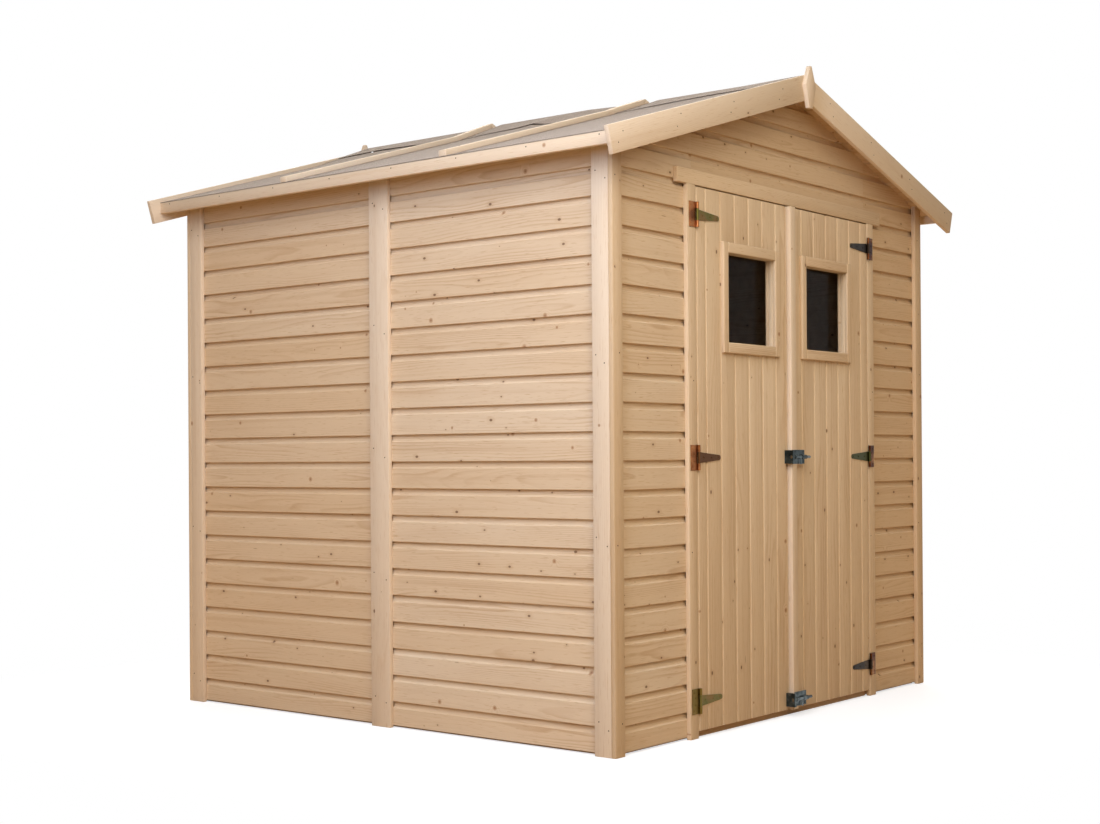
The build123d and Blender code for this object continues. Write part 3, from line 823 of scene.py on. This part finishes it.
def ridge_strip():
    """A strip of felt bent over the ridge. It stands up along the ridge and its edges wander."""
    low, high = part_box("left_roof_felt")
    rows = []
    for i in range(ALONG_STEPS + 1):
        y = low.y + (high.y - low.y) * i / ALONG_STEPS
        row = []
        for j in range(-STRIP_STEPS, STRIP_STEPS + 1):
            side = -1 if j < 0 else 1
            share = abs(j) / STRIP_STEPS
            down = share * (STRIP_REACH + STRIP_WAVE * ripple(y, 0.0, f"edge {side}"))
            out = 2 * FELT_THICK + swell(side, y, share * STRIP_REACH)
            x = side * down * math.cos(ROOF_PITCH)
            z = roof_high.z - abs(x) * math.tan(ROOF_PITCH) + out / math.cos(ROOF_PITCH)
            row.append(Vector((x, y, z)))
        rows.append(row)
    return sheet_piece("ridge_felt_strip", rows, Vector((0, 0, -1)))


def battens(node):
    """Battens over the felt, bowed where the ridge strip lifts them."""
    pile = Pile()
    for k, timber in enumerate(islands(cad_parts[node].data)):
        grain_frame, middle, _ = grain_of(timber)
        side = int(math.copysign(1, middle[0]))
        round_over(timber, ARRIS)
        for cut in range(1, BATTEN_CUTS):
            everything = timber.verts[:] + timber.edges[:] + timber.faces[:]
            place = (side * cut * BATTEN_STEP, 0, 0)
            bmesh.ops.bisect_plane(timber, geom=everything, plane_co=place, plane_no=(1, 0, 0))
        for vert in timber.verts:
            down = abs(vert.co.x) / math.cos(ROOF_PITCH)
            under = min(1.0, max(0.0, (STRIP_REACH - down) / BATTEN_STEP + 1))
            vert.co.z += swell(side, middle[1], down) + FELT_THICK * under
        pile.add(timber, grain_frame, f"{node} {k}")
    return pile.piece(f"{node}_timber", "shed", "trim_wood", TRIM, node)


# Iron and nails


def metal(node, body, slot, material):
    """Stand-in for a node of steel parts, with its edges taken off."""
    pile = Pile()
    for solid in islands(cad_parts[node].data):
        round_over(solid, METAL_EDGE, 1)
        pile.add(solid, Matrix.Identity(4), node)
    return pile.piece(f"{node}_steel", body, slot, material, node)


def corners(solid):
    """Lowest and highest corner of a solid."""
    points = np.array([vert.co for vert in solid.verts])
    return Vector(points.min(0)), Vector(points.max(0))


def keepers():
    """Box keepers on the left leaf, closed on the far side but for a hole that lets the rod through."""
    node = "bolt_keepers"
    pile = Pile()
    rods = [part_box(f"{name}_bolt_rod") for name in ("lower", "upper")]
    rod_y = (rods[0][0].y + rods[0][1].y) / 2
    hole = (rods[0][1].y - rods[0][0].y) / 2 + KEEPER_CLEAR
    for solid in islands(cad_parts[node].data):
        low, high = corners(solid)
        round_over(solid, METAL_EDGE, 1)
        pile.add(solid, Matrix.Identity(4), node)
        pile.add(holed_plate(low, high, rod_y, (low.z + high.z) / 2, hole), Matrix.Identity(4), node)
    return pile.piece(f"{node}_steel", "left_door", "bolt_steel", BOLT, node)


def holed_plate(low, high, rod_y, rod_z, hole):
    """An end plate in the Y-Z plane at the low X side, with a round hole."""
    inset = KEEPER_METAL / 2
    bottom = Vector((0, low.y + inset, low.z + inset))
    top = Vector((0, high.y - inset, high.z - inset))
    plate = bmesh.new()
    loops = []
    for x in (low.x + KEEPER_EDGE, low.x + KEEPER_METAL):
        outer = []
        inner = []
        for k in range(DOME_SIDES):
            turn = math.tau * k / DOME_SIDES
            way_y = math.cos(turn)
            way_z = math.sin(turn)
            room_y = (top.y - rod_y if way_y > 0 else rod_y - bottom.y) / max(abs(way_y), 1e-6)
            room_z = (top.z - rod_z if way_z > 0 else rod_z - bottom.z) / max(abs(way_z), 1e-6)
            reach = min(room_y, room_z)
            outer.append(plate.verts.new((x, rod_y + reach * way_y, rod_z + reach * way_z)))
            inner.append(plate.verts.new((x, rod_y + hole * way_y, rod_z + hole * way_z)))
        loops.append((outer, inner))
    (near_out, near_in), (far_out, far_in) = loops
    for k in range(DOME_SIDES):
        n = (k + 1) % DOME_SIDES
        for a, b in ((near_out, near_in), (near_in, far_in), (far_in, far_out), (far_out, near_out)):
            plate.faces.new((a[k], a[n], b[n], b[k]))
    bmesh.ops.recalc_face_normals(plate, faces=plate.faces[:])
    return plate


def dome(radius, rise, cross, place, outward):
    """A fastener's head on a surface: a low dome, with a cross-shaped recess where cross is above zero."""
    up = Vector(outward).normalized()
    side = up.orthogonal().normalized()
    matrix = frame_of(side, up.cross(side), up, place)
    head = bmesh.new()

    def loop(points, height):
        return [head.verts.new(matrix @ Vector((x, y, height))) for x, y in points]

    def ring(share, height):
        turns = [math.tau * k / DOME_SIDES for k in range(DOME_SIDES)]
        reach = share * radius
        return loop([(reach * math.cos(turn), reach * math.sin(turn)) for turn in turns], height)

    def cross_ring(height):
        arm = CROSS_ARM * radius
        half = CROSS_HALF * radius
        middle = (arm + half) / 2
        quarter = [(arm, 0), (arm, half), (middle, half), (half, half), (half, middle), (half, arm)]
        points = []
        for c, s in ((1, 0), (0, 1), (-1, 0), (0, -1)):
            points += [(x * c - y * s, x * s + y * c) for x, y in quarter]
        return loop(points, height)

    loops = [ring(DOME_RIM[0], -NAIL_SUNK)]
    loops += [ring(share, level * rise) for share, level in (DOME_RIM, DOME_SHOULDER)]
    if cross:
        loops += [cross_ring(rise), cross_ring(rise - cross)]
    else:
        loops += [ring(DOME_FLAT, rise)]
    for below, above in zip(loops, loops[1:]):
        for k in range(DOME_SIDES):
            n = (k + 1) % DOME_SIDES
            head.faces.new((below[k], below[n], above[n], above[k]))
    head.faces.new(loops[-1])
    head.faces.new(list(reversed(loops[0])))
    bmesh.ops.recalc_face_normals(head, faces=head.faces[:])
    return head


def heads(name, body, slot, material, spots, radius, rise, cross=0.0):
    """One piece of many fasteners, at (place, outward) spots."""
    pile = Pile()
    for place, outward in spots:
        pile.add(dome(radius, rise, cross, place, outward), Matrix.Identity(4), name)
    return pile.piece(name, body, slot, material)


def solid_boxes(node):
    """Lowest and highest corner of each solid in a node."""
    boxes = []
    for solid in islands(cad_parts[node].data):
        boxes.append(corners(solid))
        solid.free()
    return boxes


def hinge_screws(leaf, side):
    """Screws in the plates on the jamb and in the straps on the leaf."""
    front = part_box(f"{leaf}_door_boards")[0].y - HINGE_METAL
    plate_spots = []
    for low, high in solid_boxes(f"{leaf}_hinge_plates"):
        outer = low.x if side < 0 else high.x
        middle = (low.z + high.z) / 2
        for inset, rise in PLATE_SCREWS:
            plate_spots.append(((outer - side * inset, front, middle + rise), (0, -1, 0)))
    strap_spots = []
    for low, high in solid_boxes(f"{leaf}_hinge_straps"):
        tip = high.x if side < 0 else low.x
        middle = (low.z + high.z) / 2
        for inset in STRAP_SCREWS:
            strap_spots.append(((tip + side * inset, front, middle), (0, -1, 0)))
    for part, body, spots in (("plate", "shed", plate_spots), ("strap", f"{leaf}_door", strap_spots)):
        steel = HINGES[f"{leaf}_{part}"]
        name = f"{leaf}_{part}_screws"
        heads(name, body, "hinge_steel", steel, spots, SCREW_RADIUS, SCREW_RISE, SCREW_CROSS)


def bolt_screws():
    """Four screws in each bolt plate."""
    spots = []
    for low, high in solid_boxes("bolt_cases"):
        middle = (low.z + high.z) / 2
        for x in (low.x + BOLT_SCREW_NOSE, high.x - BOLT_SCREW_TAIL):
            for rise in (-BOLT_SCREW_OFFSET, BOLT_SCREW_OFFSET):
                spots.append(((x, high.y - BOLT_METAL, middle + rise), (0, -1, 0)))
    size = (BOLT_SCREW_RADIUS, BOLT_SCREW_RISE, BOLT_SCREW_CROSS)
    heads("bolt_screws", "right_door", "bolt_steel", BOLT, spots, *size)


def spread(low, high, step):
    """Even places from low to high, about a step apart."""
    count = max(2, round((high - low) / step) + 1)
    return [low + (high - low) * k / (count - 1) for k in range(count)]


def trim_nails(drive):
    """Nails in the upright trims, in pairs, or in turn on a narrow one."""
    for node, step in NAIL_STEPS.items():
        out = 0 if "side" in node else 1
        over = 1 - out
        for low, high in solid_boxes(node):
            middle = (low + high) / 2
            outward = Vector((0, 0, 0))
            outward[out] = math.copysign(1, middle[out])
            half = (high[over] - low[over]) / 2
            for k, height in enumerate(spread(low.z + NAIL_FOOT, high.z - NAIL_HEAD, step)):
                for turn in (-1, 1):
                    shift = turn * half * NAIL_SIDE_SHARE
                    if out == 1:
                        shift *= NAIL_END_SHARE
                    place = middle.copy()
                    place[out] = high[out] if outward[out] > 0 else low[out]
                    place[over] = middle[over] + shift
                    place.z = height + turn * NAIL_STAGGER
                    if half > NARROW_TRIM or (turn > 0) == (k % 2 == 0):
                        drive(place, outward)


def fascia_nails(drive):
    """Nails along the eave fascias."""
    for low, high in solid_boxes("eave_fascias"):
        way = math.copysign(1, low.x)
        face = high.x if way > 0 else low.x
        for y in spread(low.y + FASCIA_END, high.y - FASCIA_END, FASCIA_STEP):
            drive((face, y, (low.z + high.z) / 2 + FASCIA_RISE), (way, 0, 0))


def barge_nails(drive):
    """Pairs of nails down the bargeboards."""
    upper, lower = BARGE_DROPS
    for node, way in (("front_bargeboards", -1), ("rear_bargeboards", 1)):
        for low, high in solid_boxes(node):
            side = 1 if high.x + low.x > 0 else -1
            face = low.y if way < 0 else high.y
            for x in spread(*BARGE_NAILS):
                level = roof_high.z - x * math.tan(ROOF_PITCH)
                drive((side * x, face, level - upper), (0, way, 0))
                drive((side * (x + BARGE_STAGGER), face, level - lower), (0, way, 0))


def batten_nails(drive):
    """Nails down the battens, which lie higher over the ridge strip."""
    for low, high in solid_boxes("roof_battens"):
        side = 1 if high.x + low.x > 0 else -1
        normal = Vector((side * math.sin(ROOF_PITCH), 0, math.cos(ROOF_PITCH)))
        start = min(abs(low.x), abs(high.x))
        middle = (low.y + high.y) / 2
        for x in spread(*BATTEN_NAILS):
            top = high.z - (x - start) * math.tan(ROOF_PITCH)
            down = x / math.cos(ROOF_PITCH)
            lift = swell(side, middle, down) + (FELT_THICK if down < STRIP_REACH else 0.0)
            drive((side * x, middle, top + lift), normal)


def nail_spots():
    """Nails through the trims, fascias, bargeboards and battens, a little uneven as by hand."""
    rng = random.Random("nails")
    spots = []

    def drive(point, outward):
        shake = [rng.uniform(-NAIL_SHAKE, NAIL_SHAKE) if abs(way) < 0.5 else 0.0 for way in outward]
        spots.append((Vector(point) + Vector(shake), Vector(outward)))

    trim_nails(drive)
    fascia_nails(drive)
    barge_nails(drive)
    batten_nails(drive)
    return spots


# The shed, piece by piece

for roof_side, side_name in ((-1, "left"), (1, "right")):
    roof_boards(roof_side, f"{side_name}_roof_boards")
    felt_sheet(roof_side, f"{side_name}_roof_felt")
ridge_strip()
battens("roof_battens")
floor_planks("floor_boards")
clad_walls()

for trim_node in (
    "side_corner_trims", "side_mid_trims", "eave_fascias", "front_bargeboards", "rear_bargeboards", "finials",
):
    dressed(trim_node, "shed", "trim_wood", TRIM)
# The front corner trims take the darker spruce, which is painted shade.
dressed("front_corner_trims", "shed", "trim_wood", SHADED_CORNER)
for trim_node in ("rear_corner_trims", "rear_mid_trim", "door_jambs", "door_header"):
    dressed(trim_node, "shed", "trim_wood", DOOR)
for frame_node in (
    "wall_studs", "bottom_plates", "top_plates", "door_lintel", "door_sill", "floor_bearers", "rafters",
):
    dressed(frame_node, "shed", "framing_wood", FRAMING)
for leaf_side, leaf in ((-1, "left"), (1, "right")):
    leaf_body = f"{leaf}_door"
    dressed(f"{leaf}_door_boards", leaf_body, "door_wood", DOOR, JOINERY_ARRIS)
    dressed(f"{leaf}_door_ledges", leaf_body, "door_wood", DOOR)
    dressed(f"{leaf}_window_frame", leaf_body, "door_wood", DOOR, JOINERY_ARRIS)
    metal(f"{leaf}_hinge_plates", "shed", "hinge_steel", HINGES[f"{leaf}_plate"])
    metal(f"{leaf}_hinge_straps", leaf_body, "hinge_steel", HINGES[f"{leaf}_strap"])
    hinge_screws(leaf, leaf_side)
    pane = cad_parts[f"{leaf}_window_glass"].data
    pane.materials.clear()
    pane.materials.append(GLASS)
dressed("meeting_strip", "right_door", "door_wood", TRIM)
keepers()
metal("bolt_cases", "right_door", "bolt_steel", BOLT)
metal("upper_bolt_rod", "upper_bolt", "bolt_steel", BOLT)
metal("lower_bolt_rod", "lower_bolt", "bolt_steel", BOLT)
bolt_screws()
heads("nail_heads", "shed", "bolt_steel", NAIL, nail_spots(), NAIL_RADIUS, NAIL_RISE)


# Stage, light and camera


def stage():
    """Pale floor and a white surround that gives a little light."""
    mesh = bpy.data.meshes.new("studio_floor")
    edge = STAGE_HALF
    spots = [(-edge, -edge, 0), (edge, -edge, 0), (edge, edge, 0), (-edge, edge, 0)]
    mesh.from_pydata(spots, [], [(0, 1, 2, 3)])
    mesh.materials.append(studio_floor("pale_floor", CLAD_X, CLAD_X, *FLOOR_FADE))
    floor = bpy.data.objects.new("studio_floor", mesh)
    floor.location.z = -FLOOR_DROP
    bpy.context.scene.collection.objects.link(floor)
    floor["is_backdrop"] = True

    world = bpy.data.worlds.new("studio")
    bpy.context.scene.world = world
    world.use_nodes = True
    tree = world.node_tree
    tree.nodes.clear()
    path = tree.nodes.new("ShaderNodeLightPath")
    shown = path.outputs["Is Camera Ray"]
    for ray in ("Is Glossy Ray", "Is Transmission Ray"):
        either = tree.nodes.new("ShaderNodeMath")
        either.operation = "MAXIMUM"
        tree.links.new(shown, either.inputs[0])
        tree.links.new(path.outputs[ray], either.inputs[1])
        shown = either.outputs[0]
    light = tree.nodes.new("ShaderNodeBackground")
    light.inputs["Color"].default_value = AMBIENT_COLOUR
    light.inputs["Strength"].default_value = AMBIENT_STRENGTH
    white = tree.nodes.new("ShaderNodeBackground")
    white.inputs["Color"].default_value = WHITE
    white.inputs["Strength"].default_value = 1.0
    blend = tree.nodes.new("ShaderNodeMixShader")
    tree.links.new(shown, blend.inputs[0])
    tree.links.new(light.outputs[0], blend.inputs[1])
    tree.links.new(white.outputs[0], blend.inputs[2])
    out = tree.nodes.new("ShaderNodeOutputWorld")
    tree.links.new(blend.outputs[0], out.inputs["Surface"])


def lamp(name, place, aim, wide, tall, power, colour):
    """A soft lamp, aimed at a point, that the camera doesn't see."""
    light = bpy.data.lights.new(name, "AREA")
    light.shape = "RECTANGLE"
    light.size = wide
    light.size_y = tall
    light.energy = power
    light.color = colour
    lit = bpy.data.objects.new(name, light)
    lit.location = place
    lit.rotation_euler = (Vector(aim) - Vector(place)).to_track_quat("-Z", "Y").to_euler()
    lit.visible_camera = False
    bpy.context.scene.collection.objects.link(lit)


def soft_sun(name, toward, degrees, strength, colour):
    """Even light from a patch of sky some degrees wide, the same all over the shed."""
    light = bpy.data.lights.new(name, "SUN")
    light.angle = math.radians(degrees)
    light.energy = strength
    light.color = colour
    lit = bpy.data.objects.new(name, light)
    lit.rotation_euler = (-Vector(toward)).to_track_quat("-Z", "Y").to_euler()
    bpy.context.scene.collection.objects.link(lit)


def camera():
    """The photograph's viewpoint."""
    reach = math.cos(CAMERA_PITCH)
    ahead = Vector((math.sin(CAMERA_YAW) * reach, math.cos(CAMERA_YAW) * reach, math.sin(CAMERA_PITCH)))
    level = Vector((math.cos(CAMERA_YAW), -math.sin(CAMERA_YAW), 0))
    raised = level.cross(ahead)
    right = level * math.cos(CAMERA_ROLL) + raised * math.sin(CAMERA_ROLL)
    up = raised * math.cos(CAMERA_ROLL) - level * math.sin(CAMERA_ROLL)
    lens = bpy.data.cameras.new("photo_camera")
    lens.sensor_fit = "HORIZONTAL"
    lens.sensor_width = SENSOR_MM
    lens.lens = FOCAL_PIXELS / IMAGE_WIDTH * SENSOR_MM
    lens.shift_y = CAMERA_SHIFT_PIXELS / IMAGE_WIDTH
    eye = bpy.data.objects.new("photo_camera", lens)
    eye.matrix_world = frame_of(right, up, -ahead, CAMERA_PLACE)
    bpy.context.scene.collection.objects.link(eye)
    bpy.context.scene.camera = eye


stage()
soft_sun("sky", (-0.62, -0.44, 0.65), 50, 1.1, (1.0, 0.86, 0.67))
soft_sun("back_sky", (0.58, 0.52, 0.62), 50, 2.0, (1.0, 0.97, 0.92))
lamp("front_lamp", (-2.3, -3.3, 2.9), (-0.6, -1.0, 0.5), 1.6, 3.0, 57, (1.0, 0.97, 0.88))
lamp("corner_lamp", (-3.5, -1.5, 2.8), (-1.0, -0.8, 0.5), 1.0, 3.2, 68, (0.9, 1.1, 1.52))
lamp("rear_lamp", (3.4, 3.6, 3.0), (0.4, 0.6, 0.7), 3.0, 3.0, 105, (1.0, 0.97, 0.92))
lamp("top_lamp", (-1.0, -1.0, 6.0), (-0.6, -0.6, 0.0), 7.0, 7.0, 50, (1.0, 0.94, 0.84))
camera()
bpy.context.scene.view_settings.view_transform = "Standard"

bpy.context.view_layer.update()
boxes = {"cad": cad_box, "visual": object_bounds()}
{name: [list(corner) for corner in box] for name, box in boxes.items()}
